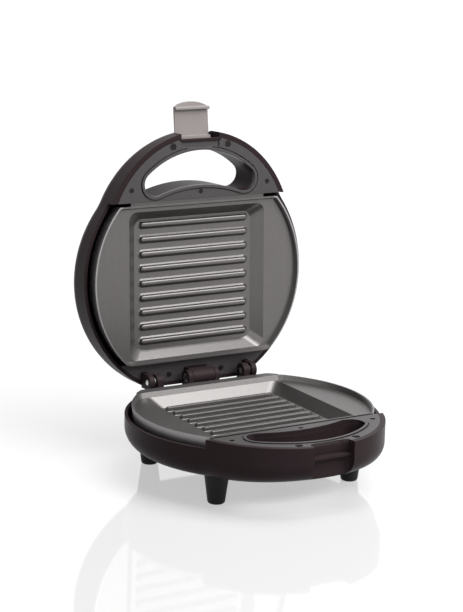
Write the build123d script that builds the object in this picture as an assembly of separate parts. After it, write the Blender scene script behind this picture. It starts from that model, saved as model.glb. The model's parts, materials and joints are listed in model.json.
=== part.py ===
from build123d import *
import math
import os
from collections import namedtuple

# Everything is drawn closed, in millimetres, about the middle of the round plates: X to the right as seen
# from the front, the handle towards -Y, Z up from the table. The lid is opened at the very end.

# Housings
disc_r = 98.3               # outer radius of both housings round the plates
handle_reach = 17.4         # how far the handle stands out in front of that circle
handle_front = disc_r + handle_reach
handle_front_r = disc_r - 16.1      # radius of the handle's front arc
handle_side_r = handle_front_r + 7.8    # radius of its two flatter side arcs
handle_arc_half = 50.0      # degrees of the front arc on each side of the middle
shoulder_r = 40.0           # hollow curve where the handle runs into the round housing
rear_y = disc_r - 10.3      # flat back, so that the closed object also stands upright
rear_corner_r = 16.0
wall = 2.5                  # round housing wall and floor
rim_w = 4.0                 # rim round the handle insert
base_z = 54.9               # height of the base plate's rim and of the base handle's face
halves_gap = 4.0            # between the two faces when closed

# Each half: deepest point below its face, rounding of its outer edge, the long curve that thins it
# towards the handle, where that curve starts, and how far the round rim lies behind the handle's face
Half = namedtuple("Half", "depth edge_r curve_r curve_y rim_step")
base = Half(31.6, 15.0, 410.0, -45.0, 6.9)
lid = Half(40.0, 14.0, 900.0, 60.0, 8.5)

# Grill plates
plate_gap = 2.9             # between the plate's rim and the housing's wall
plate_r = disc_r - wall - plate_gap
plate_front_y = 38.5 - disc_r
plate_back_y = rear_y - 21.3
plate_front_corner_r = 3.0
plate_back_corner_r = 9.0
plate_rim_w = 1.3
plate_draft = 1.4           # how far the skirt leans in, from rim to lower edge
dish_run = 1.5              # width of the slope inside the rim
dish_depth = 4.0
slab_t = 3.0
skirt_depth = 13.0
skirt_t = 2.6
tub_half = plate_r - 31.6   # tray at the level of the dish floor
tub_front_y = plate_front_y + 5.3
tub_back_y = plate_back_y - 2.7
tub_slope = 8.3             # how far its side walls lean in, down to its floor
tub_end_slope = 7.0
tub_floor_half = tub_half - tub_slope
tub_floor_front_y = tub_front_y + tub_end_slope
tub_floor_back_y = tub_back_y - tub_end_slope
tub_depth = 12.0            # below the rim
tub_t = 2.6
tub_corner_r = 7.0
rib_count = 9
rib_first_y = tub_floor_front_y + 4.3
rib_last_y = tub_floor_back_y - 6.8
rib_half = tub_floor_half - 4.5
rib_w = 4.4
rib_h = 3.0
tongue_reach = 5.4          # the plate's edge that the insert and the rear cover hold down
tongue_t = 1.8
front_tongue_half = plate_r - 32.9
rear_tongue_half = 33.0
plate_post_r = 4.0
plate_post_x = plate_r - 22.9
plate_post_y = (plate_front_y + 25.8, plate_back_y - 28.7)
plate_post_at = [(x, y) for y in plate_post_y for x in (-plate_post_x, plate_post_x)]

# Partition between the plate bay and the handle bay, and the handle inserts
partition_y = plate_front_y - 3.0   # its rear face
partition_t = 2.2
insert_edge_y = partition_y + 0.3
insert_t = 3.0
insert_gap = 0.15

# Finger opening through both handles
front_bar = 14.9            # from the opening to the front of the handle
opening_front_y = front_bar - handle_front
opening_front_r = handle_front_r - 11.4
lobe_x = handle_front_r - 42.2
lobe_r = 9.84
crest_y = partition_y - 10.5        # the rear edge swells forward to here
collar = 2.5                # moulded wall round the opening
lip_w = 2.2                 # raised lip of the insert round the opening
lip_rise = 0.6
groove_w = 0.9
groove_depth = 0.8

# Heaters, reflectors and controls
heater_r = 3.1
heater_half = 30.0          # half the distance between the legs
heater_bend_y = -15.0
heater_end_y = plate_back_y + 5.3
heater_gap = 0.2
heater_pin_r = 1.2
heater_pin_len = 8.0
reflector_gap = 0.3
reflector_t = 0.6
reflector_r = plate_r - 4.9
reflector_front_y = plate_front_y + 2.8
reflector_back_y = plate_back_y - 4.2
reflector_lip = 6.0
reflector_corner_r = (4.0, 8.0)
leg_gap = 0.5               # round the heater's legs where they leave it
thermostat_at = (plate_r - 18.9, 2.0)
thermostat_r = 7.8
thermostat_h = 8.5
thermostat_body_h = 5.1
thermostat_cap_r = 5.6
blade_w = 4.8
blade_t = 0.8
blade_len = 3.5
blade_gap = 5.6
fuse_at = (16.9 - plate_r, 2.0)
fuse_r = 2.4
fuse_len = 34.0
fuse_sleeve_len = 20.4
fuse_wire_r = 0.7
seat_gap = 0.3

# Rear bay: cover, terminal block, cord bush
cover_front_y = plate_back_y + 0.9
cover_top = 8.7             # below the face
cover_t = 2.0
cover_gap = 0.3
cover_screw_at = ((-24.0, rear_y - 9.0), (24.0, rear_y - 9.0))
block_size = (24.0, 9.0, 9.5)
block_y = rear_y - 19.7
block_well_r = 2.0
block_well_depth = 4.0
strip_r = plate_r + 1.5     # raised strip of the base's cover behind the plate
strip_back_y = cover_front_y + 7.0
strip_corner_r = 5.0
strip_t = 1.8
bush_z = 37.0
bush_r = 4.6
bush_flange_r = 6.4
bush_flange_t = 1.8
bush_bore_r = 3.1
bush_tail = 1.6
boss_r = 6.8                # moulded sleeve round the bush
boss_len = 9.0

# Hinge
hinge_y = rear_y - 6.9
hinge_z = 57.9
lid_open = 92.0             # degrees that the lid stands open at rest
ear_r = 6.0
base_ear_x = (37.0, 42.4)
lid_ear_x = (44.6, 49.0)
hinge_pin_r = 2.2
pin_gap = 0.05
collar_r = 3.6
ear_gap = 0.3
conduit_r = 3.4
conduit_bore_r = 2.4
conduit_base_x = (10.0, 14.0)
conduit_lid_half = 9.7
stop_gap = 0.3
stop_back_y = rear_y - 0.6
stop_t = 3.4
stop_ear_gap = 2.0

# Catch in the base handle and latch in the lid handle
notch_half = 17.0
latch_y = 9.3 - handle_front        # latch pivot
catch_back_y = latch_y + 1.6        # wall above the ledge
catch_low_y = latch_y       # wall below the ledge
ledge_front_y = latch_y - 3.6
ledge_top = 9.6             # below the base's face
ledge_t = 2.0
ledge_corner_r = 1.0
notch_corner_r = 4.5
notch_rim_w = 1.6           # rim of the lid's housing beside the notch
notch_bar_w = 2.2           # and behind it
notch_rim_low = 3.5         # depth of that rim
notch_back_y = latch_y - 1.0        # edge of the lid's insert at the latch
notch_deep_y = latch_y + 2.9        # back of the pocket behind it
bridge_drop = 1.0
latch_half = 15.2
latch_up = 9.0              # pivot's height above the lid's face
latch_inner_y = latch_y - 4.6       # flat inner face
latch_edge_t = 1.2
latch_swell = 3.4
latch_arch = 4.0            # how far the thumb end swells past the hook
root_half = 13.4
root_back = 1.6             # root block behind the pivot and below it
root_drop = 5.0
hook_reach = 3.3
hook_t = 2.6
hook_gap = 0.5
barrel_r = 2.6
latch_pin_r = 1.25
latch_pin_half = 19.5
latch_out = 95.0            # degrees that the latch stands out at rest
notch_clear = 1.6

# Feet
foot_x = disc_r - 39.5
foot_at = [(x, y) for y in (50.5 - disc_r, rear_y - 31.2) for x in (-foot_x, foot_x)]
foot_names = ("front_left", "front_right", "rear_left", "rear_right")
foot_tip_r = 6.4
foot_top_r = 10.0
foot_round = 2.0
foot_wrap = 4.0             # how far its top rises round the housing's lower edge
foot_stub_r = 4.6
foot_stub_len = 12.0
foot_fit = 0.1

# Screws
insert_screw_at = [(x, 11.5 - handle_front) for x in (-24.6, 24.6)]
outer_screw_x = disc_r - 37.1
small_screw_at = [(x, partition_y - 9.4) for x in (-outer_screw_x, outer_screw_x)]
small_screw_at += [(0.0, partition_y - 5.3)]
screw_head_r = 2.7
screw_head_h = 1.5
screw_r = 1.5
screw_len = 11.0
small_head_r = 1.8
small_head_h = 1.2
small_r = 1.0
small_len = 9.0
slot_reach = 1.3            # of a head's radius, for the length of its cross slots
slot_width = 0.28
slot_deep = 0.55            # of a head's height
hole_gap = 0.2              # round a screw and its head in the pieces that it holds
screw_fit = 0.05
screw_post_wall = 2.2
head_drop = 0.5
foot_head_h = 1.8
foot_well = 4.0

# Lamps and lenses in the lid
lens_at = ((-9.0, plate_front_y + 15.8), (9.0, plate_front_y + 15.8))
lens_r = 3.8
lens_flange_r = 5.0
lens_flange_t = 0.9
lens_proud = 0.6
lamp_r = 1.2
lamp_len = 9.0

# Values that follow from the sizes above
lid_z = base_z + halves_gap
handle_arc_y = -handle_front + handle_front_r
opening_arc_y = opening_front_y + opening_front_r
lobe_y = opening_arc_y - math.sqrt((opening_front_r - lobe_r) ** 2 - lobe_x ** 2)
crest_run = crest_y - lobe_y
crest_r = (lobe_x ** 2 + crest_run ** 2 - lobe_r ** 2) / (2 * (lobe_r - crest_run))
latch_reach = latch_up + halves_gap + ledge_top + ledge_t + hook_gap
tub_under = tub_depth + tub_t
heater_w = tub_under + heater_gap + heater_r
reflector_w = heater_w + heater_r + reflector_gap
pad_w = reflector_w + reflector_t
cover_w = cover_top + cover_t
big = 400.0


def slab(sketch, top, bottom):
    """A sketch drawn down between two depths below a half's face."""
    return extrude(Pos(0, 0, -bottom) * sketch, bottom - top)


def block(x0, x1, y0, y1, z0, z1):
    """A box between two corners."""
    size = (x1 - x0, y1 - y0, z1 - z0)
    middle = ((x0 + x1) / 2, (y0 + y1) / 2, (z0 + z1) / 2)
    return Pos(*middle) * Box(*size)


def post(at, radius, top, bottom):
    """A round post between two depths below a half's face."""
    return slab(Pos(*at) * Circle(radius), top, bottom)


def x_rod(radius, x0, x1, y, z):
    """A round rod along X."""
    return Pos((x0 + x1) / 2, y, z) * Rot(0, 90, 0) * Cylinder(radius, x1 - x0)


# Outlines
def handle_outline(inset):
    """The handle's three tangent arcs, closed inside the round housing."""
    front_r = handle_front_r - inset
    side_r = handle_side_r - inset
    turn = math.radians(handle_arc_half)
    offset = handle_front_r - handle_side_r
    side_c = (offset * math.sin(turn), handle_arc_y - offset * math.cos(turn))
    join = (front_r * math.sin(turn), handle_arc_y - front_r * math.cos(turn))
    half = (turn - math.pi / 2) / 2
    middle = (side_c[0] + side_r * math.cos(half), side_c[1] + side_r * math.sin(half))
    end = (side_c[0] + side_r, side_c[1])
    front = ThreePointArc((-join[0], join[1]), (0, handle_arc_y - front_r), join)
    right = ThreePointArc(join, middle, end)
    across = Line(end, (-end[0], end[1]))
    left = ThreePointArc((-end[0], end[1]), (-middle[0], middle[1]), (-join[0], join[1]))
    return make_face([front, right, across, left])


def housing_outline(inset):
    """The round housing and the handle in one outline, with its shoulders and its flat back."""
    radius = disc_r - inset
    outline = Circle(radius) + handle_outline(inset)
    corners = [v for v in outline.vertices() if abs(math.hypot(v.X, v.Y) - radius) < 0.01 and v.Y < 0]
    outline = fillet(corners, shoulder_r + inset)
    outline -= Pos(0, rear_y - inset + big / 2) * Rectangle(big, big)
    back = [v for v in outline.vertices() if abs(v.Y - (rear_y - inset)) < 0.01]
    return fillet(back, rear_corner_r - inset)


def opening_outline(grow):
    """The finger opening: a front arc, two round ends and a rear edge that swells forward."""
    front_r = opening_front_r + grow
    end_r = lobe_r + grow
    rear_r = crest_r - grow
    rear_c = crest_y + crest_r
    away = math.atan2(lobe_y - opening_arc_y, lobe_x)
    join = (front_r * math.cos(away), opening_arc_y + front_r * math.sin(away))
    toward = math.atan2(lobe_y - rear_c, lobe_x)
    back = (rear_r * math.cos(toward), rear_c + rear_r * math.sin(toward))
    front = ThreePointArc((-join[0], join[1]), (0, opening_arc_y - front_r), join)
    right = ThreePointArc(join, (lobe_x + end_r, lobe_y), back)
    rear = ThreePointArc(back, (0, rear_c - rear_r), (-back[0], back[1]))
    left = ThreePointArc((-back[0], back[1]), (-lobe_x - end_r, lobe_y), (-join[0], join[1]))
    return make_face([front, right, rear, left])


def chord_outline(radius, front_y, back_y, front_corner, back_corner):
    """A disc cut straight at the front and at the back, with rounded corners."""
    length = back_y - front_y
    outline = Circle(radius) & (Pos(0, front_y + length / 2) * Rectangle(2 * radius + 2, length))
    outline = fillet([v for v in outline.vertices() if abs(v.Y - front_y) < 0.01], front_corner)
    return fillet([v for v in outline.vertices() if abs(v.Y - back_y) < 0.01], back_corner)


def handle_side(depth):
    """Everything in front of the inserts' straight edge."""
    return block(-big, big, -big, insert_edge_y, -depth - big, big)


# One half of the housing, drawn face up with its face at height 0
def half_body(half, inset):
    """The solid outer form of a half, or with an inset the space inside its walls."""
    body = slab(housing_outline(inset), 0, half.depth)
    flat = block(-big, big, half.curve_y, big, inset - half.depth, 1)
    curved = x_rod(half.curve_r - inset, -big, big, half.curve_y, half.curve_r - half.depth)
    body &= flat + curved
    low = [e for e in body.edges() if e.bounding_box().max.Z < -inset - 0.5]
    return fillet(low, half.edge_r - inset)


def half_shell(half):
    """A moulded half: thin walls, partition, opening collar and all screw posts."""
    depth = half.depth
    outer = half_body(half, 0)
    plate_bay = half_body(half, wall) & block(-big, big, partition_y, big, -big, big)
    handle_bay = half_body(half, rim_w)
    handle_bay &= block(-big, big, -big, partition_y - partition_t, -big, big)
    handle_bay -= slab(opening_outline(collar), 0, depth)
    inside = outer & block(-big, big, -big, big, -depth, -insert_t)
    posts = [post(at, screw_r + screw_post_wall, insert_t, depth) for at in insert_screw_at]
    posts += [post(at, small_r + screw_post_wall, insert_t, depth) for at in small_screw_at]
    posts += [post(at, small_r + screw_post_wall, cover_w, depth) for at in cover_screw_at]
    posts += [post(at, plate_post_r, pad_w, depth) for at in plate_post_at]
    shell = outer - plate_bay - handle_bay
    for item in posts:
        shell += item & inside
    insert_seat = slab(housing_outline(rim_w), 0, insert_t) & handle_side(depth)
    shell -= insert_seat
    slot_half = front_tongue_half + insert_gap
    slot_low = -insert_t - tongue_t - 2 * insert_gap
    shell -= block(-slot_half, slot_half, partition_y - partition_t - 0.5, partition_y + 0.5, slot_low, 0)
    shell -= slab(opening_outline(0), -1, depth + 1)
    shell -= block(-big, big, insert_edge_y, big, -half.rim_step, big)
    for at in insert_screw_at:
        shell -= post(at, screw_r + screw_fit, 0, insert_t + screw_len)
    for at in small_screw_at:
        shell -= post(at, small_r + screw_fit, 0, insert_t + small_len)
    for at in cover_screw_at:
        shell -= post(at, small_r + screw_fit, 0, cover_w + small_len)
    return shell


def face_up(shape):
    """Place a half that is drawn face up as the base."""
    return Pos(0, 0, base_z) * shape


def face_down(shape):
    """Place a half that is drawn face up as the closed lid."""
    return Pos(0, 0, lid_z) * mirror(shape, about=Plane.XY)


# Handle inserts
def insert_plate():
    """The flat panel on the handle's face, with a grooved lip round the finger opening."""
    front = Pos(0, insert_edge_y - big / 2) * Rectangle(big, big)
    outline = housing_outline(rim_w + insert_gap) & front
    panel = slab(outline, 0, insert_t)
    panel += slab(opening_outline(lip_w), -lip_rise, insert_t)
    panel -= slab(opening_outline(lip_w + groove_w) - opening_outline(lip_w), -1, groove_depth)
    panel -= slab(opening_outline(0), -lip_rise - 1, insert_t + 1)
    for at in insert_screw_at:
        panel -= post(at, screw_r + hole_gap, 0, insert_t + 1)
        panel -= post(at, screw_head_r + hole_gap, -1, screw_head_h + head_drop)
    for at in small_screw_at:
        panel -= post(at, small_r + hole_gap, 0, insert_t + 1)
        panel -= post(at, small_head_r + hole_gap, -1, small_head_h + head_drop)
    return panel


def screw(at, head_r, head_h, radius, length, head_top):
    """A cross-head screw whose head starts at a depth below the face."""
    body = post(at, head_r, head_top, head_top + head_h)
    body += post(at, radius, head_top + head_h, head_top + head_h + length)
    reach, width = head_r * slot_reach, head_r * slot_width
    slot = Rectangle(reach, width) + Rectangle(width, reach)
    return body - slab(Pos(*at) * slot, head_top - 1, head_top + head_h * slot_deep)


def insert_screws():
    """Two cross-head screws by the latch and three small ones along the plate."""
    big_len = insert_t - head_drop - screw_head_h + screw_len - 1
    small_reach = insert_t - head_drop - small_head_h + small_len - 1
    by_latch = [screw(at, screw_head_r, screw_head_h, screw_r, big_len, head_drop) for at in insert_screw_at]
    small_size = (small_head_r, small_head_h, small_r, small_reach, head_drop)
    return by_latch + [screw(at, *small_size) for at in small_screw_at]


# Grill plates
def plate_outline(inset):
    """The plate's truncated disc."""
    front = max(plate_front_corner_r - inset, 0.4)
    back = plate_back_corner_r - inset
    return chord_outline(plate_r - inset, plate_front_y + inset, plate_back_y - inset, front, back)


def tub(grow, top, bottom):
    """The tapered tray, larger by its wall where grow is that wall."""
    middle = (tub_front_y + tub_back_y) / 2
    low_middle = (tub_floor_front_y + tub_floor_back_y) / 2
    length = tub_back_y - tub_front_y + 2 * grow
    low_length = tub_floor_back_y - tub_floor_front_y + 2 * grow
    mouth = Pos(0, middle, -top) * RectangleRounded(2 * (tub_half + grow), length, tub_corner_r + grow)
    low_width = 2 * (tub_floor_half + grow)
    floor = Pos(0, low_middle, -bottom) * RectangleRounded(low_width, low_length, tub_corner_r)
    return loft([floor, mouth])


def grill_rib(y):
    """One raised rib across the tray, with rounded ends and a rounded back."""
    rib = slab(Pos(0, y) * SlotOverall(2 * rib_half, rib_w), tub_depth - rib_h, tub_depth + 0.5)
    top = [e for e in rib.edges() if e.bounding_box().min.Z > -tub_depth + rib_h - 0.01]
    return fillet(top, rib_w * 0.4)


def grill_plate():
    """A cast plate: rim and skirt, shallow dish, sloped tray with its ribs, and posts below."""
    plate = loft([Pos(0, 0, -skirt_depth) * plate_outline(plate_draft), plate_outline(0)])
    dish_top = plate_outline(plate_rim_w)
    dish_floor = Pos(0, 0, -dish_depth) * plate_outline(plate_rim_w + dish_run)
    dish = loft([dish_floor, dish_top])
    under = slab(plate_outline(plate_draft + skirt_t), dish_depth + slab_t, skirt_depth + 1)
    plate = plate - dish - under
    plate += tub(tub_t, dish_depth + tub_t / 2, tub_under)
    plate -= tub(0, dish_depth, tub_depth)
    step = (rib_last_y - rib_first_y) / (rib_count - 1)
    for i in range(rib_count):
        plate += grill_rib(rib_first_y + i * step)
    for at in plate_post_at:
        plate += post(at, plate_post_r, dish_depth + slab_t - 0.5, reflector_w)
    tongue_top = insert_t + insert_gap
    front, front_skirt = plate_front_y - tongue_reach, plate_front_y + skirt_t
    tongue_low = -tongue_top - tongue_t
    plate += block(-front_tongue_half, front_tongue_half, front, front_skirt, tongue_low, -tongue_top)
    tail_top = cover_w + insert_gap
    back_skirt, back = plate_back_y - skirt_t, plate_back_y + tongue_reach
    tail_low = -tail_top - tongue_t
    plate += block(-rear_tongue_half, rear_tongue_half, back_skirt, back, tail_low, -tail_top)
    return plate


# Heating
def heater():
    """A tubular heater bent to a U, with a pin at each cold end."""
    turn_mid = (0, heater_bend_y - heater_half)
    left = Line((-heater_half, heater_end_y), (-heater_half, heater_bend_y))
    bend = ThreePointArc((-heater_half, heater_bend_y), turn_mid, (heater_half, heater_bend_y))
    right = Line((heater_half, heater_bend_y), (heater_half, heater_end_y))
    path = Wire([left.edge(), bend.edge(), right.edge()])
    start = Plane(origin=(-heater_half, heater_end_y, 0), z_dir=(0, -1, 0))
    tube = sweep(start * Circle(heater_r), path=path)
    for side in (-1, 1):
        middle = heater_end_y + heater_pin_len / 2
        pin = Pos(side * heater_half, middle, 0) * Rot(90, 0, 0) * Cylinder(heater_pin_r, heater_pin_len)
        tube += pin
    return Pos(0, 0, -heater_w) * tube


def reflector():
    """A pressed sheet under the heater, with its edge turned up and two gaps for the heater's legs."""
    thick = reflector_t
    front_r, back_r = reflector_corner_r
    floor = chord_outline(reflector_r, reflector_front_y, reflector_back_y, front_r, back_r)
    front, back = reflector_front_y + thick, reflector_back_y - thick
    inner = chord_outline(reflector_r - thick, front, back, front_r - thick, back_r - thick)
    tray = slab(floor, reflector_w - reflector_lip, pad_w)
    tray -= slab(inner, reflector_w - reflector_lip - 1, reflector_w)
    for side in (-1, 1):
        left, right = side * heater_half - heater_r - leg_gap, side * heater_half + heater_r + leg_gap
        tray -= block(left, right, reflector_back_y - 2, reflector_back_y + 2, -reflector_w, big)
    return tray


def thermostat():
    """A bimetal disc thermostat under the plate, with two blade terminals."""
    top = dish_depth + slab_t + seat_gap
    body = post(thermostat_at, thermostat_r, top, top + thermostat_body_h)
    body += post(thermostat_at, thermostat_cap_r, top + thermostat_body_h, top + thermostat_h)
    x, y = thermostat_at
    low = -top - thermostat_h
    for inner, outer in on_both((blade_gap / 2, blade_gap / 2 + blade_t)):
        body += block(x - blade_w / 2, x + blade_w / 2, y + inner, y + outer, low - blade_len, low + 0.5)
    return body


def thermal_fuse():
    """A one-shot thermal fuse in its sleeve, lying along the plate's side."""
    w = dish_depth + slab_t + seat_gap + fuse_r
    x, y = fuse_at
    fuse = Cylinder(fuse_r, fuse_sleeve_len) + Cylinder(fuse_wire_r, fuse_len)
    return Pos(x, y, -w) * Rot(90, 0, 0) * fuse


# Rear bay
def rear_cover(ears):
    """The cover over the rear bay, let in round the hinge ears."""
    outline = housing_outline(wall + cover_gap)
    outline &= Pos(0, cover_front_y + big / 2) * Rectangle(big, big)
    cover = slab(outline, cover_top, cover_w)
    for x0, x1 in ears:
        gap = cover_gap
        cover -= block(x0 - gap, x1 + gap, hinge_y - ear_r - gap, big, -big, big)
    for at in cover_screw_at:
        cover -= post(at, small_r + hole_gap, 0, cover_w + 1)
    return cover


def raised_strip(cover):
    """Add the hollow strip behind the plate, nearly as high as its rim."""
    front, back, corner = cover_front_y, strip_back_y, strip_corner_r
    outer = chord_outline(strip_r, front, back, 0.6, corner)
    inner = chord_outline(strip_r - strip_t, front + strip_t, back - strip_t, 0.4, corner - strip_t)
    cover += slab(outer, insert_gap, cover_w)
    return cover - slab(inner, insert_gap + strip_t, cover_w + 1)


def cover_screws():
    """Two screws that hold a rear cover down."""
    reach = cover_t + small_len - 1
    head_top = cover_top - small_head_h
    return [screw(at, small_head_r, small_head_h, small_r, reach, head_top) for at in cover_screw_at]


def terminal_block():
    """A three-pole ceramic block on the base's floor, with its screw wells."""
    x, y, z = block_size
    floor = base.depth - wall
    body = block(-x / 2, x / 2, block_y - y / 2, block_y + y / 2, -floor, -floor + z)
    for i in (-1, 0, 1):
        body -= post((i * x / 3, block_y), block_well_r, floor - z - 1, floor - z + block_well_depth)
    return body


def y_rod(radius, y0, y1):
    """A round rod along Y on the bush's axis."""
    return Pos(0, (y0 + y1) / 2, bush_z) * Rot(90, 0, 0) * Cylinder(radius, y1 - y0)


def cord_bush():
    """A flanged bush in the base's back wall, where a cord would go in."""
    tail = boss_len + bush_tail
    body = y_rod(bush_flange_r, rear_y, rear_y + bush_flange_t) + y_rod(bush_r, rear_y - tail, rear_y)
    return body - y_rod(bush_bore_r, rear_y - tail - 1, rear_y + bush_flange_t + 1)


# Hinge
def ear(x0, x1, reach):
    """A hinge ear about the axis, with its web running to a height: up for the lid, down for the base."""
    knuckle = x_rod(ear_r, x0, x1, hinge_y, hinge_z)
    low, high = sorted((hinge_z, reach))
    return knuckle + block(x0, x1, hinge_y - ear_r, hinge_y + ear_r, low, high)


def ear_room(half, place):
    """Where the ears of a half may stand: inside its walls, or anywhere beyond its rim."""
    inner = half_body(half, wall / 2) & block(-big, big, -big, big, -big, -half.rim_step)
    return place(inner + block(-big, big, -big, big, -half.rim_step, big))


def on_both(pair):
    """A pair of X limits and its mirror image."""
    return (pair, (-pair[1], -pair[0]))


base_ears = on_both(base_ear_x) + on_both(conduit_base_x)
lid_ears = on_both(lid_ear_x) + ((-conduit_lid_half, conduit_lid_half),)


def hinge_bores(radius, conduit_radius):
    """Bores of the two pins and of the middle conduit."""
    cut = x_rod(conduit_radius, -conduit_base_x[1] - 1, conduit_base_x[1] + 1, hinge_y, hinge_z)
    for x0, x1 in on_both((base_ear_x[0] - 1, lid_ear_x[1] + 1)):
        cut += x_rod(radius, x0, x1, hinge_y, hinge_z)
    return cut


def hinge_pin(side):
    """A steel pin with a collar between the two ears."""
    x0, x1 = base_ear_x[0], lid_ear_x[1]
    pin = x_rod(hinge_pin_r, x0, x1, hinge_y, hinge_z)
    pin += x_rod(collar_r, base_ear_x[1] + ear_gap, lid_ear_x[0] - ear_gap, hinge_y, hinge_z)
    return pin if side > 0 else mirror(pin, about=Plane.YZ)


def conduit():
    """The hollow middle pin that carries the lid's leads through the hinge."""
    tube = x_rod(conduit_r, -conduit_base_x[1], conduit_base_x[1], hinge_y, hinge_z)
    return tube - x_rod(conduit_bore_r, -conduit_base_x[1] - 1, conduit_base_x[1] + 1, hinge_y, hinge_z)


# Housings with all their own features
def notch(back_y, top, bottom, corner=notch_corner_r, half=notch_half):
    """The space cut from a handle's front, with rounded inner corners."""
    outline = Pos(0, back_y - big / 2) * Rectangle(2 * half, big)
    outline = fillet([v for v in outline.vertices() if v.Y > back_y - 1], corner)
    return slab(outline, top, bottom)


def notch_rim():
    """The narrow rim of the lid's housing round the latch, beside its insert."""
    back_y = notch_back_y - insert_gap
    outer = notch(back_y, 0, notch_rim_low, ledge_corner_r, notch_half + notch_rim_w)
    return outer - notch(back_y - notch_bar_w, -1, notch_rim_low + 1, ledge_corner_r)


def base_shell():
    """The lower housing: feet stubs, catch, hinge ears, stop and cord hole."""
    shell = half_shell(base)
    outer = half_body(base, 0)
    side = notch_half + rim_w
    backing = block(-side, side, -big, opening_front_y - collar / 2, -big, -insert_t)
    backing = (backing & outer) - slab(opening_outline(0), -1, base.depth + 1)
    shell += backing
    for at in insert_screw_at:
        shell -= post(at, screw_r + screw_fit, 0, insert_t + screw_len)
    ledge_low = ledge_top + ledge_t
    shell -= notch(catch_back_y, -1, ledge_top)
    shell -= notch(catch_low_y, ledge_low, base.depth + 1)
    shell -= notch(ledge_front_y, ledge_top - 0.01, ledge_low + 0.01, ledge_corner_r)
    for at in foot_at:
        stub = post(at, foot_stub_r, base.depth - wall / 2, base.depth + foot_stub_len)
        shell += stub
        shell -= post(at, screw_r + screw_fit, base.depth + 1, base.depth + foot_stub_len + 1)
    shell = face_up(shell)
    room = ear_room(base, face_up)
    low = base_z - base.depth
    for x0, x1 in base_ears:
        shell += ear(x0, x1, low) & room
    for x0, x1 in on_both((lid_ear_x[0], lid_ear_x[1] - stop_ear_gap)):
        stop = block(x0, x1, stop_back_y - stop_t, stop_back_y, low, hinge_z - ear_r - stop_gap)
        shell += stop & room
    shell -= hinge_bores(hinge_pin_r + pin_gap, conduit_r + pin_gap)
    shell += y_rod(boss_r, rear_y - boss_len, rear_y)
    return shell - y_rod(bush_r + foot_fit, rear_y - boss_len - 1, rear_y + 1)


def lid_shell():
    """The upper housing: crown, latch notch, hinge ears and lens holes."""
    shell = half_shell(lid)
    outer = half_body(lid, 0)
    top = latch_up + latch_y - latch_inner_y + latch_edge_t + latch_swell + notch_clear
    side = notch_half + rim_w
    backing = block(-side, side, -big, opening_front_y - collar / 2, -top - wall, -insert_t)
    backing = (backing & outer) - slab(opening_outline(0), -1, lid.depth + 1)
    shell += backing
    for at in insert_screw_at:
        shell -= post(at, screw_r + screw_fit, 0, insert_t + screw_len)
    shell -= notch(notch_deep_y, -1, top, ledge_corner_r)
    shell += notch_rim() & outer
    shell -= x_rod(latch_pin_r + pin_gap, -latch_pin_half - 0.3, latch_pin_half + 0.3, latch_y, -latch_up)
    for at in lens_at:
        shell -= post(at, lens_r + foot_fit, 0, lid.depth + 1)
    shell = face_down(shell)
    room = ear_room(lid, face_down)
    for x0, x1 in lid_ears:
        shell += ear(x0, x1, lid_z + lid.depth) & room
    return shell - hinge_bores(hinge_pin_r + pin_gap, conduit_r + pin_gap)


# Latch
def latch():
    """The latch: a plate with a swollen outer face and an arched end, its hook, root and barrel."""
    pivot = lid_z + latch_up
    low = pivot - latch_reach - hook_t
    edge_y = latch_inner_y - latch_edge_t
    inner = Line((latch_half, latch_inner_y), (-latch_half, latch_inner_y))
    left = Line((-latch_half, latch_inner_y), (-latch_half, edge_y))
    swell = ThreePointArc((-latch_half, edge_y), (0, edge_y - latch_swell), (latch_half, edge_y))
    right = Line((latch_half, edge_y), (latch_half, latch_inner_y))
    end = low - latch_arch
    body = extrude(Pos(0, 0, end) * make_face([inner, left, swell, right]), pivot - end)
    arch_r = (latch_half ** 2 + latch_arch ** 2) / (2 * latch_arch)
    thumb = Pos(0, 0, end + arch_r) * Rot(90, 0, 0) * Cylinder(arch_r, big)
    body &= block(-big, big, -big, big, low, big) + thumb
    hook = block(-latch_half, latch_half, latch_inner_y - 0.5, latch_inner_y + hook_reach, low, low + hook_t)
    nose = [e for e in hook.edges().filter_by(Axis.X) if e.center().Y > latch_inner_y + hook_reach - 0.1]
    body += fillet(nose, 0.6)
    body += block(-root_half, root_half, latch_inner_y - 0.5, latch_y + root_back, pivot - root_drop, pivot)
    body += x_rod(barrel_r, -root_half, root_half, latch_y, pivot)
    return body - x_rod(latch_pin_r + pin_gap, -latch_half - 1, latch_half + 1, latch_y, pivot)


def latch_pin():
    """The steel rod through the lid's notch."""
    return x_rod(latch_pin_r, -latch_pin_half, latch_pin_half, latch_y, lid_z + latch_up)


# Feet
def foot(at):
    """A tapered foot on its stub, fitted to the housing's underside, with a well for its screw."""
    height = base_z - base.depth
    top = height + foot_wrap
    profile = Polyline((0, 0), (foot_tip_r, 0), (foot_top_r, top), (0, top), close=True)
    body = revolve(Plane.XZ * make_face(profile), Axis.Z)
    tip = [e for e in body.edges() if e.bounding_box().max.Z < 0.01]
    body = fillet(tip, foot_round)
    body -= Pos(0, 0, height) * Cylinder(foot_stub_r + foot_fit, 2 * (foot_stub_len + foot_fit))
    body -= Cylinder(screw_r + 0.3, 2 * height)
    body -= Cylinder(screw_head_r + 0.2, 2 * (foot_head_h + foot_well))
    return Pos(at[0], at[1], 0) * body - face_up(half_body(base, 0))


def foot_screws():
    """Four screws that hold the feet."""
    screws = []
    for at in foot_at:
        neck = -foot_well - foot_head_h
        body = post(at, screw_head_r, neck, -foot_well)
        body += post(at, screw_r, base.depth - base_z + foot_well, neck)
        screws.append(body)
    return screws


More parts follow.
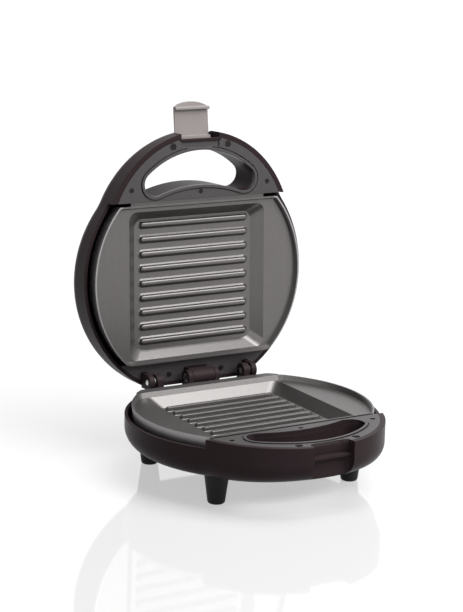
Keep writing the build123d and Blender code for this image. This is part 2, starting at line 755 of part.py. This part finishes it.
# Lamps
def lens(at):
    """A round lens in the lid's top."""
    skin = lid.depth - lid.curve_r + math.sqrt(lid.curve_r ** 2 - (at[1] - lid.curve_y) ** 2)
    slope = (lid.curve_y - at[1]) / lid.curve_r
    seat = skin - wall - lens_flange_r * slope - seat_gap
    body = post(at, lens_r, seat - lens_flange_t, skin + lens_proud)
    edge = [e for e in body.edges() if e.bounding_box().max.Z < -skin - lens_proud + 0.01]
    return fillet(edge, 0.5) + post(at, lens_flange_r, seat - lens_flange_t, seat)


def lamps():
    """Two neon lamps, one under each lens."""
    found = []
    for at in lens_at:
        w = pad_w + 0.6 + lamp_r
        found.append(Pos(at[0], at[1], -w) * Rot(90, 0, 0) * Cylinder(lamp_r, lamp_len))
    return found


# Assembly
def opened(shape):
    """Turn a lid piece from closed to its open rest."""
    return shape.rotate(Axis((0, hinge_y, hinge_z), (1, 0, 0)), -lid_open)


def swung(shape):
    """Swing the latch out on its pin."""
    return shape.rotate(Axis((0, latch_y, lid_z + latch_up), (1, 0, 0)), -latch_out)


def base_pieces():
    """Every node of the base, as lists of solids where they stand."""
    panel = insert_plate() - notch(catch_back_y, -2, insert_t + 1)
    cover = raised_strip(rear_cover(base_ears + on_both(lid_ear_x)))
    nodes = {
        "base_shell": [base_shell()],
        "base_handle_insert": [face_up(panel)],
        "base_insert_screws": [face_up(piece) for piece in insert_screws()],
        "lower_grill_plate": [face_up(grill_plate())],
        "lower_heater": [face_up(heater())],
        "lower_reflector": [face_up(reflector())],
        "lower_thermostat": [face_up(thermostat())],
        "thermal_fuse": [face_up(thermal_fuse())],
        "terminal_block": [face_up(terminal_block())],
        "cord_bush": [cord_bush()],
        "base_rear_cover": [face_up(cover)],
        "base_cover_screws": [face_up(piece) for piece in cover_screws()],
        "hinge_pin_left": [hinge_pin(-1)],
        "hinge_pin_right": [hinge_pin(1)],
        "hinge_conduit": [conduit()],
        "foot_screws": foot_screws(),
    }
    for name, at in zip(foot_names, foot_at):
        nodes["foot_" + name] = [foot(at)]
    return nodes


def lid_pieces():
    """Every node of the lid and its latch, turned to the open rest."""
    rim_half = notch_half + notch_rim_w + insert_gap
    panel = insert_plate() - notch(notch_back_y, -2, insert_t + 1, ledge_corner_r, rim_half)
    panel -= block(-notch_half, notch_half, -big, opening_front_y - lip_w, -bridge_drop, big)
    face_down_pieces = {
        "lid_handle_insert": [panel],
        "lid_insert_screws": insert_screws(),
        "upper_grill_plate": [grill_plate()],
        "upper_heater": [heater()],
        "upper_reflector": [reflector()],
        "upper_thermostat": [thermostat()],
        "lid_rear_cover": [rear_cover(lid_ears)],
        "lid_cover_screws": cover_screws(),
        "power_lens": [lens(lens_at[0])],
        "ready_lens": [lens(lens_at[1])],
        "indicator_lamps": lamps(),
    }
    nodes = {
        "lid_shell": [opened(lid_shell())],
        "latch_pin": [opened(latch_pin())],
        "latch": [opened(swung(latch()))],
    }
    for name, pieces in face_down_pieces.items():
        nodes[name] = [opened(face_down(piece)) for piece in pieces]
    return nodes


def main():
    """Centre everything over the origin and write one file per node."""
    os.makedirs("parts", exist_ok=True)
    nodes = {**base_pieces(), **lid_pieces()}
    boxes = [piece.bounding_box() for pieces in nodes.values() for piece in pieces]
    front = min(box.min.Y for box in boxes)
    back = max(box.max.Y for box in boxes)
    for name, pieces in nodes.items():
        placed = [Pos(0, -(front + back) / 2, 0) * piece for piece in pieces]
        export_step(placed[0] if len(placed) == 1 else Compound(children=placed), "parts/" + name + ".step")


main()
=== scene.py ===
import json
import math

import bpy
from bpy.props import FloatProperty, FloatVectorProperty, PointerProperty
from bpy.types import NodeSocket, Operator, Panel, PropertyGroup
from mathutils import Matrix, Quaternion, Vector


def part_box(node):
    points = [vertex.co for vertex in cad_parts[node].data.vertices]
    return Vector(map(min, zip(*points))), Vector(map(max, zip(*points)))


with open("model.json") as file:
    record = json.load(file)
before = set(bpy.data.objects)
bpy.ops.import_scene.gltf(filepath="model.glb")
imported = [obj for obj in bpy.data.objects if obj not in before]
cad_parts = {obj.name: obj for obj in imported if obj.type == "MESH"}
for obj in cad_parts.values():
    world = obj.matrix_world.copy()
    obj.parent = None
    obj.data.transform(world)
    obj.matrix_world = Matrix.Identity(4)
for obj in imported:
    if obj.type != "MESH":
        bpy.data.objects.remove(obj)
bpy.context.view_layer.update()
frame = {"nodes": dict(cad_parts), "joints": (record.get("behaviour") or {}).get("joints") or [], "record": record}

bl_info = {
    "name": "Sandwich maker studio",
    "version": (1, 0, 0),
    "blender": (4, 5, 0),
    "location": "View3D > Sidebar > Sandwich maker",
    "description": "Finishes the pieces of a hinged sandwich maker and sets it in a white studio",
    "category": "Object",
}

# The camera, the lamps and the ribs are placed from the lid's hinge
hinge = Vector(frame["joints"][0]["pos_m"])
opened = math.radians(frame["record"]["behaviour"]["joints"][0]["range_deg"][1])
lid_turn = Quaternion((1.0, 0.0, 0.0), -opened)

# For each half, the way its face looks and the way from the hinge to its handle
facings = {"base": Vector((0.0, 0.0, 1.0)), "lid": lid_turn @ Vector((0.0, 0.0, -1.0))}
outwards = {"base": Vector((0.0, -1.0, 0.0)), "lid": lid_turn @ Vector((0.0, -1.0, 0.0))}

# For each lamp, where it stands, its width and its height, in metres
lamps = {
    "key": ((-1.5, -1.4, 0.8), 1.0, 1.2),
    "top": ((0.45, -0.7, 1.45), 1.2, 2.2),
    "fill": ((1.4, -1.2, 0.6), 1.1, 1.3),
}

white = (1.0, 1.0, 1.0, 1.0)


# Sizes and colours that a user would change

def length(name, description, default):
    return FloatProperty(name=name, description=description, default=default, min=0.0, unit="LENGTH")


def turn(name, description, default):
    return FloatProperty(
        name=name, description=description, default=math.radians(default), subtype="ANGLE"
    )


def place(name, description, default):
    return FloatVectorProperty(
        name=name, description=description, default=default, subtype="TRANSLATION", unit="LENGTH"
    )


def shade(name, description, default):
    return FloatVectorProperty(
        name=name, description=description, default=default, subtype="COLOR", min=0.0, max=1.0
    )


def amount(name, description, default, most=1.0):
    return FloatProperty(name=name, description=description, default=default, min=0.0, max=most)


class MouldedSettings(PropertyGroup):
    """Colours and surface of the moulded plastic pieces."""

    # The housing colour also serves as the painted shade on the walls of the inserts and the rear covers
    shell: shade("Housing", "Colour of the two housings", (0.024, 0.016, 0.0175))
    insert: shade("Insert", "Colour of the handle inserts and the rear covers", (0.052, 0.048, 0.049))
    latch: shade("Latch", "Colour of the swing latch", (0.20, 0.178, 0.174))
    cloud: length("Clouds", "Size of the faint clouds in tone and shine", 0.035)
    variation: amount("Variation", "How far the clouds make the tone stray", 0.12)
    grain: length("Grain", "Size of the fine grain of the moulds", 0.0006)
    grain_depth: length("Grain depth", "Depth of that grain", 0.00004)
    grain_relief: amount("Grain relief", "How strongly the grain catches the light", 0.35)
    grain_share: amount("Grain share", "Share of the grain, beside the clouds, in the shine", 0.3)
    etching: amount("Etching", "How much rougher an etched face is than its walls", 0.13)
    edge: length("Edge", "Rounding of the moulded edges", 0.0007)


class CoatingSettings(PropertyGroup):
    """Colour and surface of the non-stick coating on the grill plates."""

    colour: shade("Coating", "Colour of the coated plates", (0.113, 0.107, 0.105))
    darkest: amount("Darkest", "The darkest spots, as a share of that colour", 0.84)
    lightest: amount("Lightest", "The lightest spots, as a share of that colour", 1.18, 2.0)
    # The plate edge colour is a painted highlight: a lighter rim that stands in for the light caught by each
    # plate's rolled edge
    edge: shade("Plate edge", "Colour of the bare aluminium round the plates", (0.27, 0.26, 0.265))
    edge_width: length("Edge width", "How far the bare edge reaches in", 0.0015)
    metallic: amount("Metal", "How much the coating shines as metal does", 0.75)
    smoothest: amount("Smoothest", "Least roughness of the coating", 0.26)
    roughest: amount("Roughest", "Greatest roughness of the coating", 0.41)
    edge_rougher: amount("Edge rougher", "How much rougher the bare edge is", 0.08)
    cloud: length("Clouds", "Size of the faint clouds in tone and shine", 0.028)
    speckle: length("Speckle", "Size of the fine speckle in the coating", 0.0009)
    sparkle: length("Sparkle", "Size of the lighter spots in the coating", 0.00144)
    spray: length("Spray", "Width of the marks of the spray", 0.00135)
    spray_stretch: amount("Spray stretch", "Width of those marks, as a share of their length", 0.02)
    speckle_height: amount("Speckle height", "Height of the speckle, as a share of a rib's foot", 0.002)
    rib_first: length("First rib", "From the hinge to the rib nearest to it", 0.0309)
    rib_pitch: length("Rib pitch", "From one rib to the next", 0.011675)
    rib_last: FloatProperty(name="Last rib", description="Number of the last rib, from 0", default=8.0)
    rib_half: length("Rib half", "Half the length of a rib, up to its round ends", 0.0463)
    rib_edge: length("Rib edge", "From the middle of a rib to its side", 0.0016)
    rib_foot: length("Rib foot", "From the middle of a rib to where its foot runs out", 0.0036)
    foot_height: length("Foot height", "How high the cast foot of a rib rises", 0.0016)


class MetalSettings(PropertyGroup):
    """Colours and surface of the plain metal pieces."""

    plated: shade("Plated steel", "Colour of the pins", (0.60, 0.59, 0.57))
    blackened: shade("Blackened steel", "Colour of the screws", (0.035, 0.032, 0.032))
    sheath: shade("Heater", "Colour of the heating tubes", (0.30, 0.28, 0.26))
    sheet: shade("Sheet", "Colour of the bright reflectors", (0.78, 0.78, 0.79))
    cloud: length("Clouds", "Size of the clouds in the shine", 0.006)
    darkest: amount("Darkest", "The darkest clouds, as a share of the colour", 0.85)
    lightest: amount("Lightest", "The lightest clouds, as a share of the colour", 1.1, 2.0)
    lines: length("Lines", "Width of the faint drawing lines", 0.0012)
    line_depth: length("Line depth", "Depth of those lines", 0.00002)
    line_relief: amount("Line relief", "How strongly the lines catch the light", 0.3)
    line_share: amount("Line share", "Share of the lines, beside the clouds, in the shine", 0.6)


class SmallPartSettings(PropertyGroup):
    """Colours and surface of rubber, ceramic and the lamps."""

    rubber: shade("Rubber", "Colour of the feet and the bush", (0.009, 0.0085, 0.01))
    dust: length("Dust", "Size of the dusty clouds on the rubber", 0.008)
    rubber_grain: length("Rubber grain", "Size of the rubber's grain", 0.0007)
    rubber_edge: length("Rubber edge", "Rounding of the rubber's edges", 0.0006)
    ceramic: shade("Ceramic", "Colour of the ceramic pieces", (0.78, 0.75, 0.68))
    pores: length("Pores", "Size of the pores in the ceramic", 0.0008)
    red: shade("Red lens", "Colour of the power lens", (0.55, 0.02, 0.015))
    green: shade("Green lens", "Colour of the ready lens", (0.03, 0.38, 0.07))
    glass: shade("Lamp glass", "Colour of the glass of the lamps", (0.85, 0.82, 0.78))
    ripple: length("Ripple", "Size of the ripples in clear pieces", 0.004)


class StudioSettings(PropertyGroup):
    """Floor, lamps and camera."""

    floor: shade("Floor", "Colour of the floor", (0.27, 0.27, 0.27))
    floor_size: length("Floor size", "Width of the floor", 6.0)
    floor_cloud: length("Floor clouds", "Size of the faint clouds in the floor", 0.3)
    floor_lift: amount("Floor glow", "White that the floor adds for the camera", 0.50)
    ambient: amount("Ambient", "Strength of the surrounding light", 0.2)
    key_power: amount("Key lamp", "Watts of the large lamp on the left", 5.0, 500.0)
    top_power: amount("Top lamp", "Watts of the lamp overhead", 64.0, 500.0)
    fill_power: amount("Fill lamp", "Watts of the lamp on the right", 3.0, 500.0)
    lamp_aim: length("Lamp aim", "Height that the lamps face", hinge.z * 1.6)
    look_at: place("Look at", "Middle of the picture", hinge + Vector((-0.0075, -0.0582, 0.0705)))
    distance: length("Distance", "From the camera to that point", 1.3768)
    azimuth: turn("Azimuth", "Direction of the camera, to the left of the front", -30.71)
    elevation: turn("Elevation", "Height of the camera above the horizon", 13.09)
    roll: turn("Roll", "Tilt of the camera about its own axis", 1.3)
    lens: FloatProperty(name="Lens", description="Focal length in mm", default=105.7, min=1.0)


# Shader maths: arithmetic on a Value adds its Math nodes

class Value:
    """A number that changes over a surface."""

    def __init__(self, finish, socket):
        self.finish = finish
        self.socket = socket

    def __add__(self, other):
        return self.finish.maths("ADD", self, other)

    def __mul__(self, other):
        return self.finish.maths("MULTIPLY", self, other)


class Finish:
    """A material, built one node at a time on its Principled shader."""

    def __init__(self, name, **constants):
        self.material = bpy.data.materials.new(name)
        self.material.use_nodes = True
        self.tree = self.material.node_tree
        self.shader = self.tree.nodes["Principled BSDF"]
        self.output = self.tree.nodes["Material Output"]
        self.where = self.add("ShaderNodeTexCoord").outputs["Object"]
        for socket, value in constants.items():
            self.feed(self.shader.inputs[socket.replace("_", " ")], value)

    @classmethod
    def of_world(cls, world):
        """The same tools for the nodes of the surroundings."""
        finish = cls.__new__(cls)
        finish.tree = world.node_tree
        return finish

    def feed(self, socket, value):
        """Links the socket to what varies, or sets it to what doesn't."""
        if isinstance(value, Value):
            value = value.socket
        if isinstance(value, NodeSocket):
            self.tree.links.new(value, socket)
        else:
            socket.default_value = value

    def add(self, kind, inputs=None, **settings):
        """A new node with its settings made and its inputs fed."""
        node = self.tree.nodes.new(kind)
        for name, setting in settings.items():
            setattr(node, name, setting)
        for name, value in (inputs or {}).items():
            self.feed(node.inputs[name], value)
        return node

    def maths(self, operation, *values):
        """One Math node."""
        node = self.add("ShaderNodeMath", dict(enumerate(values)), operation=operation)
        return Value(self, node.outputs[0])

    def vectors(self, operation, *values):
        """One Vector Math node, which gives a Value for a length or a dot product."""
        node = self.add("ShaderNodeVectorMath", dict(enumerate(values)), operation=operation)
        if operation in ("LENGTH", "DOT_PRODUCT"):
            return Value(self, node.outputs["Value"])
        return node.outputs["Vector"]

    def rise(self, value, start, end):
        """0 up to the start and 1 from the end on."""
        limits = {"Value": value, "From Min": start, "From Max": end}
        return Value(self, self.add("ShaderNodeMapRange", limits).outputs[0])

    def spread(self, value, low, high):
        """A value from 0 to 1 brought to the range from low to high."""
        return value * (high - low) + low

    def noise(self, size, detail=2.0, stretch=(1.0, 1.0, 1.0)):
        """Cloudy noise from 0 to 1 whose clouds are about that size in metres."""
        mapping = self.add("ShaderNodeMapping", {"Vector": self.where, "Scale": stretch})
        inputs = {"Vector": mapping.outputs[0], "Scale": 1 / size, "Detail": detail}
        return Value(self, self.add("ShaderNodeTexNoise", inputs).outputs["Fac"])

    def cells(self, size):
        """Distance from the middle of the nearest of many small cells."""
        node = self.add("ShaderNodeTexVoronoi", {"Vector": self.where, "Scale": 1 / size})
        return Value(self, node.outputs["Distance"])

    def looks(self, direction, away=0.4, facing=0.8):
        """1 where the surface faces that way, and 0 on the walls that turn away from it."""
        normal = self.add("ShaderNodeTexCoord").outputs["Normal"]
        return self.rise(self.vectors("DOT_PRODUCT", normal, direction), away, facing)

    def outer_edge(self, plate, width, blur=0.1, nearly=0.9999):
        """1 on the round outer edge of a grill plate, and 0 inside it."""
        points = [vertex.co for vertex in frame["nodes"][plate].data.vertices]
        radius = max(point.x for point in points)
        widest = [point for point in points if point.x > radius * nearly]
        middle = sum(widest, Vector()) / len(widest)
        middle.x = 0.0
        low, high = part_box(plate)
        upright = (high - low).z > (high - low).y
        flat = (1.0, 0.0, 1.0) if upright else (1.0, 1.0, 0.0)
        level = self.vectors("MULTIPLY", self.vectors("SUBTRACT", self.where, middle), flat)
        return self.rise(self.vectors("LENGTH", level), radius - width, radius - width * (1 - blur))

    def rib_feet(self, half, settings):
        """1 on the ribs of a grill plate, falling softly to 0 at their cast feet."""
        from_hinge = self.vectors("SUBTRACT", self.where, hinge)
        out = self.vectors("DOT_PRODUCT", from_hinge, outwards[half])
        lane = out * (1 / settings.rib_pitch) + -settings.rib_first / settings.rib_pitch
        nearest = self.maths("MAXIMUM", self.maths("ROUND", lane), 0.0)
        nearest = self.maths("MINIMUM", nearest, settings.rib_last)
        across = (lane + nearest * -1.0) * settings.rib_pitch
        sideways = self.add("ShaderNodeSeparateXYZ", {0: self.where}).outputs["X"]
        past_end = self.maths("MAXIMUM", self.maths("ABSOLUTE", sideways) + -settings.rib_half, 0.0)
        gap = self.maths("SQRT", across * across + past_end * past_end)
        return self.rise(gap, settings.rib_foot, settings.rib_edge)

    def mixed(self, factor, first, second):
        """A colour between two colours."""
        node = self.add("ShaderNodeMix", {0: factor, 6: first, 7: second}, data_type="RGBA")
        return node.outputs[2]

    def bumped(self, height, depth, strength=1.0, edge=0.0):
        """Relief of that depth in metres, on edges that look rounded where edge is given."""
        inputs = {"Height": height, "Distance": depth, "Strength": strength}
        if edge:
            inputs["Normal"] = self.add("ShaderNodeBevel", {"Radius": edge}, samples=4).outputs[0]
        self.feed(self.shader.inputs["Normal"], self.add("ShaderNodeBump", inputs).outputs[0])

    def surface(self, colour, roughness):
        self.feed(self.shader.inputs["Base Color"], colour)
        self.feed(self.shader.inputs["Roughness"], roughness)


def opaque(colour, factor=1.0):
    """A colour with its alpha, made lighter or darker by the factor."""
    return (*(channel * factor for channel in colour), 1.0)


def shared(values, shares):
    """Several Values added up, each times its share."""
    parts = [value * share for value, share in zip(values, shares)]
    total = parts[0]
    for part in parts[1:]:
        total += part
    return total


# Finishes, each with the range of its roughness

def moulded_plastic(name, colour, settings, index, rough, etched_unshaded_towards=None):
    """Satin moulded plastic with the fine grain of an etched mould.

    Where a direction is given, only the faces that look there get the rougher etch. The walls that turn away get
    painted shade in the housing's dark colour, with a smoother shine.
    """
    finish = Finish(name, IOR=index)
    clouds = finish.noise(settings.cloud, detail=3.0)
    grain = finish.noise(settings.grain, detail=1.0)
    darker, lighter = 1 - settings.variation, 1 + settings.variation
    tone = finish.mixed(clouds, opaque(colour, darker), opaque(colour, lighter))
    shares = (1 - settings.grain_share, settings.grain_share)
    shine = finish.spread(shared((clouds, grain), shares), *rough)
    if etched_unshaded_towards is not None:
        etched_unshaded = finish.looks(etched_unshaded_towards)
        # Painted shade: the walls that turn away from the facing take the housing's dark colour
        tone = finish.mixed(etched_unshaded, opaque(settings.shell), tone)
        shine += etched_unshaded * settings.etching
    finish.surface(tone, shine)
    finish.bumped(grain, settings.grain_depth, settings.grain_relief, settings.edge)
    return finish.material


def coated_metal(plate, half, settings, tone_shares=(0.3, 0.3, 0.4), shine_shares=(0.4, 0.2, 0.4)):
    """Cast aluminium under a dark sprayed coating with a fine speckle, and a painted highlight round its outer
    edge: a lighter, more metallic and rougher rim.
    """
    finish = Finish(plate + "_coating", IOR=1.6)
    drawn_out = (1.0, settings.spray_stretch, settings.spray_stretch)
    clouds = finish.noise(settings.cloud, detail=3.0)
    speckle = finish.noise(settings.speckle)
    sparkle = finish.cells(settings.sparkle)
    sprayed = finish.noise(settings.spray, stretch=drawn_out)
    shades = shared((clouds, sparkle, sprayed), tone_shares)
    rough = shared((clouds, speckle, sprayed), shine_shares)
    darkest = opaque(settings.colour, settings.darkest)
    lightest = opaque(settings.colour, settings.lightest)
    # Painted highlight: a lighter, more metallic rim round the plate's outer edge
    painted_highlight = finish.outer_edge(plate, settings.edge_width)
    finish.surface(
        finish.mixed(painted_highlight, finish.mixed(shades, darkest, lightest), opaque(settings.edge)),
        finish.spread(rough, settings.smoothest, settings.roughest) + painted_highlight * settings.edge_rougher,
    )
    finish.feed(finish.shader.inputs["Metallic"], finish.spread(painted_highlight, settings.metallic, 1.0))
    relief = finish.rib_feet(half, settings) + speckle * settings.speckle_height
    finish.bumped(relief, settings.foot_height)
    return finish.material


def drawn_metal(name, colour, settings, rough, stretch=(1.0, 1.0, 1.0)):
    """Metal with faint drawing lines and a slight cloud in its shine."""
    finish = Finish(name, Metallic=1.0)
    lines = finish.noise(settings.lines, detail=3.0, stretch=stretch)
    clouds = finish.noise(settings.cloud)
    shares = (settings.line_share, 1 - settings.line_share)
    finish.surface(
        finish.mixed(clouds, opaque(colour, settings.darkest), opaque(colour, settings.lightest)),
        finish.spread(shared((lines, clouds), shares), *rough),
    )
    finish.bumped(lines, settings.line_depth, settings.line_relief)
    return finish.material


def soft_rubber(name, settings, rough, dusty=1.6, depth=0.00005, relief=0.4):
    """Dull black rubber, a little dusty."""
    finish = Finish(name, IOR=1.25)
    dust = finish.noise(settings.dust, detail=4.0)
    grain = finish.noise(settings.rubber_grain)
    tone = finish.mixed(dust, opaque(settings.rubber), opaque(settings.rubber, dusty))
    finish.surface(tone, finish.spread(dust, *rough))
    finish.bumped(grain, depth, relief, settings.rubber_edge)
    return finish.material


def fired_ceramic(name, settings, rough, stained=0.88, depth=0.00006, relief=0.5):
    """Off-white unglazed ceramic."""
    finish = Finish(name)
    pores = finish.noise(settings.pores, detail=4.0)
    tone = finish.mixed(pores, opaque(settings.ceramic, stained), opaque(settings.ceramic))
    finish.surface(tone, finish.spread(pores, *rough))
    finish.bumped(pores, depth, relief)
    return finish.material


def clear_lens(name, colour, settings, transmission, rough, deeper=0.9, depth=0.00004, relief=0.3):
    """Tinted clear plastic over a lamp."""
    finish = Finish(name, Transmission_Weight=transmission, IOR=1.49)
    ripple = finish.noise(settings.ripple)
    tone = finish.mixed(ripple, opaque(colour, deeper), opaque(colour))
    finish.surface(tone, finish.spread(ripple, *rough))
    finish.bumped(ripple, depth, relief)
    return finish.material


def cover(node, material):
    """One piece of the model gets the finish."""
    for holder in frame["nodes"][node].material_slots:
        holder.material = material


def give(material, *slots):
    """Every piece of the model in one of these material slots gets the finish."""
    wanted = [part["node"] for part in frame["record"]["subparts"] if part["material_slot"] in slots]
    if not wanted:
        raise RuntimeError("no piece has the finish " + ", ".join(slots))
    for node in wanted:
        cover(node, material)


class FinishHousings(Operator):
    """Gives the two housings their dark satin plastic"""

    bl_idname = "sandwich_maker.finish_housings"
    bl_label = "Housings"

    def execute(self, context):
        settings = context.scene.sandwich_moulded
        plastic = moulded_plastic(
            "shell_plastic", settings.shell, settings, index=1.12, rough=(0.30, 0.40)
        )
        give(plastic, "shell_plastic")
        return {"FINISHED"}


class FinishInserts(Operator):
    """Gives the handle inserts and the rear covers their dark grey plastic"""

    bl_idname = "sandwich_maker.finish_inserts"
    bl_label = "Handle inserts and rear covers"

    def execute(self, context):
        settings = context.scene.sandwich_moulded
        # The walls of the handle openings and of the covers get painted shade in the housing's colour
        for half, facing in facings.items():
            plastic = moulded_plastic(
                half + "_insert_plastic", settings.insert, settings,
                index=1.3, rough=(0.22, 0.32), etched_unshaded_towards=facing,
            )
            for piece in ("_handle_insert", "_rear_cover"):
                cover(half + piece, plastic)
        return {"FINISHED"}


class FinishLatch(Operator):
    """Gives the latch its warm grey plastic"""

    bl_idname = "sandwich_maker.finish_latch"
    bl_label = "Latch"

    def execute(self, context):
        settings = context.scene.sandwich_moulded
        plastic = moulded_plastic(
            "latch_plastic", settings.latch, settings, index=1.45, rough=(0.34, 0.44)
        )
        give(plastic, "latch_plastic")
        return {"FINISHED"}


class FinishPlates(Operator):
    """Coats the two grill plates"""

    bl_idname = "sandwich_maker.finish_plates"
    bl_label = "Grill plates"

    def execute(self, context):
        for plate, half in (("lower_grill_plate", "base"), ("upper_grill_plate", "lid")):
            cover(plate, coated_metal(plate, half, context.scene.sandwich_coating))
        return {"FINISHED"}


class FinishHardware(Operator):
    """Finishes the screws, the pins, the heaters and the reflectors"""

    bl_idname = "sandwich_maker.finish_hardware"
    bl_label = "Screws, pins and heaters"

    def execute(self, context):
        settings = context.scene.sandwich_metal
        metals = {
            "plated_steel": (settings.plated, (0.24, 0.4)),
            "black_steel": (settings.blackened, (0.3, 0.45)),
            "heater_steel": (settings.sheath, (0.4, 0.6)),
        }
        for name, (colour, rough) in metals.items():
            give(drawn_metal(name, colour, settings, rough), name)
        along = (0.15, 1.0, 1.0)
        give(drawn_metal("bright_sheet", settings.sheet, settings, (0.18, 0.34), along), "bright_sheet")
        return {"FINISHED"}


class FinishRubber(Operator):
    """Finishes the feet and the cord bush in black rubber"""

    bl_idname = "sandwich_maker.finish_rubber"
    bl_label = "Feet and bush"

    def execute(self, context):
        rubber = soft_rubber("black_rubber", context.scene.sandwich_small, rough=(0.42, 0.6))
        give(rubber, "foot_rubber", "bush_rubber")
        return {"FINISHED"}


class FinishElectrical(Operator):
    """Finishes the ceramic pieces, the two lenses and the lamps"""

    bl_idname = "sandwich_maker.finish_electrical"
    bl_label = "Ceramic, lenses and lamps"

    def execute(self, context):
        settings = context.scene.sandwich_small
        give(fired_ceramic("ceramic", settings, rough=(0.4, 0.62)), "ceramic")
        clear = {
            "red_lens": (settings.red, 0.5),
            "green_lens": (settings.green, 0.5),
            "lamp_glass": (settings.glass, 0.9),
        }
        for name, (colour, transmission) in clear.items():
            give(clear_lens(name, colour, settings, transmission, rough=(0.06, 0.14)), name)
        return {"FINISHED"}


# The studio

def soft_lamp(name, power, at, aim, width, height):
    """A rectangular soft lamp that faces its aim."""
    data = bpy.data.lights.new(name, "AREA")
    data.energy = power
    data.shape = "RECTANGLE"
    data.size = width
    data.size_y = height
    lamp = bpy.data.objects.new(name, data)
    lamp.location = at
    lamp.rotation_euler = (Vector(at) - Vector(aim)).to_track_quat("Z", "Y").to_euler()
    bpy.context.collection.objects.link(lamp)


def seen_as_white(finish):
    """1 where the camera, a reflection or clear plastic sees the background."""
    path = finish.add("ShaderNodeLightPath").outputs
    kinds = [Value(finish, path[f"Is {ray} Ray"]) for ray in ("Camera", "Glossy", "Transmission")]
    return kinds[0] + kinds[1] + kinds[2]


def white_floor(settings, rough, shaded=0.995):
    """Pale, faintly polished floor that keeps the shadow and reflects the feet."""
    finish = Finish("studio_floor", IOR=1.7)
    cloud = finish.noise(settings.floor_cloud)
    finish.surface(
        finish.mixed(cloud, opaque(settings.floor, shaded), opaque(settings.floor)),
        finish.spread(cloud, *rough),
    )
    strength = seen_as_white(finish) * settings.floor_lift
    glow = finish.add("ShaderNodeEmission", {"Color": white, "Strength": strength})
    both = finish.add("ShaderNodeAddShader", {0: finish.shader.outputs[0], 1: glow.outputs[0]})
    finish.feed(finish.output.inputs["Surface"], both.outputs[0])
    return finish.material


def studio_world(settings):
    """Even surroundings: white where they are seen, dimmer as light."""
    world = bpy.data.worlds.new("studio_world")
    world.use_nodes = True
    bpy.context.scene.world = world
    finish = Finish.of_world(world)
    background = world.node_tree.nodes["Background"]
    background.inputs["Color"].default_value = white
    strength = seen_as_white(finish) * (1.0 - settings.ambient) + settings.ambient
    finish.feed(background.inputs["Strength"], strength)


def studio_floor(settings):
    """The floor, as a stage that isn't part of the object."""
    bpy.ops.object.select_all(action="DESELECT")
    bpy.ops.mesh.primitive_plane_add(size=settings.floor_size, location=(0.0, 0.0, 0.0))
    floor = bpy.context.object
    floor.name = "studio_floor"
    floor.data.materials.append(white_floor(settings, rough=(0.045, 0.06)))


def studio_camera(settings):
    """The camera, on a line that leads back from what it looks at."""
    azimuth, elevation = settings.azimuth, settings.elevation
    back = Vector((
        math.sin(azimuth) * math.cos(elevation),
        -math.cos(azimuth) * math.cos(elevation),
        math.sin(elevation),
    ))
    data = bpy.data.cameras.new("studio_camera")
    data.lens = settings.lens
    camera = bpy.data.objects.new("studio_camera", data)
    camera.location = Vector(settings.look_at) + back * settings.distance
    camera.rotation_mode = "QUATERNION"
    camera.rotation_quaternion = back.to_track_quat("Z", "Y") @ Quaternion((0, 0, 1), settings.roll)
    bpy.context.collection.objects.link(camera)
    bpy.context.scene.camera = camera


class BuildStudio(Operator):
    """Adds the floor, the surroundings, the lamps and the camera"""

    bl_idname = "sandwich_maker.build_studio"
    bl_label = "Studio"

    def execute(self, context):
        settings = context.scene.sandwich_studio
        studio_floor(settings)
        studio_world(settings)
        aim = (hinge.x, 0.0, settings.lamp_aim)
        for name, (at, width, height) in lamps.items():
            soft_lamp(name + "_lamp", getattr(settings, name + "_power"), at, aim, width, height)
        studio_camera(settings)
        context.scene.view_settings.view_transform = "Standard"
        return {"FINISHED"}


class StudioPanel(Panel):
    """Lists the steps and their sizes and colours"""

    bl_idname = "VIEW3D_PT_sandwich_maker"
    bl_label = "Sandwich maker"
    bl_space_type = "VIEW_3D"
    bl_region_type = "UI"
    bl_category = "Sandwich maker"

    def draw(self, context):
        layout = self.layout
        for step in steps:
            layout.operator(step.bl_idname)
        for group in groups:
            box = layout.box()
            settings = getattr(context.scene, group)
            for name in settings.bl_rna.properties.keys():
                if name not in ("rna_type", "name"):
                    box.prop(settings, name)


groups = {
    "sandwich_moulded": MouldedSettings,
    "sandwich_coating": CoatingSettings,
    "sandwich_metal": MetalSettings,
    "sandwich_small": SmallPartSettings,
    "sandwich_studio": StudioSettings,
}

steps = (
    FinishHousings,
    FinishInserts,
    FinishLatch,
    FinishPlates,
    FinishHardware,
    FinishRubber,
    FinishElectrical,
    BuildStudio,
)

classes = (*groups.values(), *steps, StudioPanel)


def register():
    for kind in classes:
        bpy.utils.register_class(kind)
    for name, kind in groups.items():
        setattr(bpy.types.Scene, name, PointerProperty(type=kind))


def unregister():
    for name in groups:
        delattr(bpy.types.Scene, name)
    for kind in reversed(classes):
        bpy.utils.unregister_class(kind)


def main():
    register()
    for step in steps:
        family, name = step.bl_idname.split(".")
        getattr(getattr(bpy.ops, family), name)()


if __name__ == "__main__":
    main()
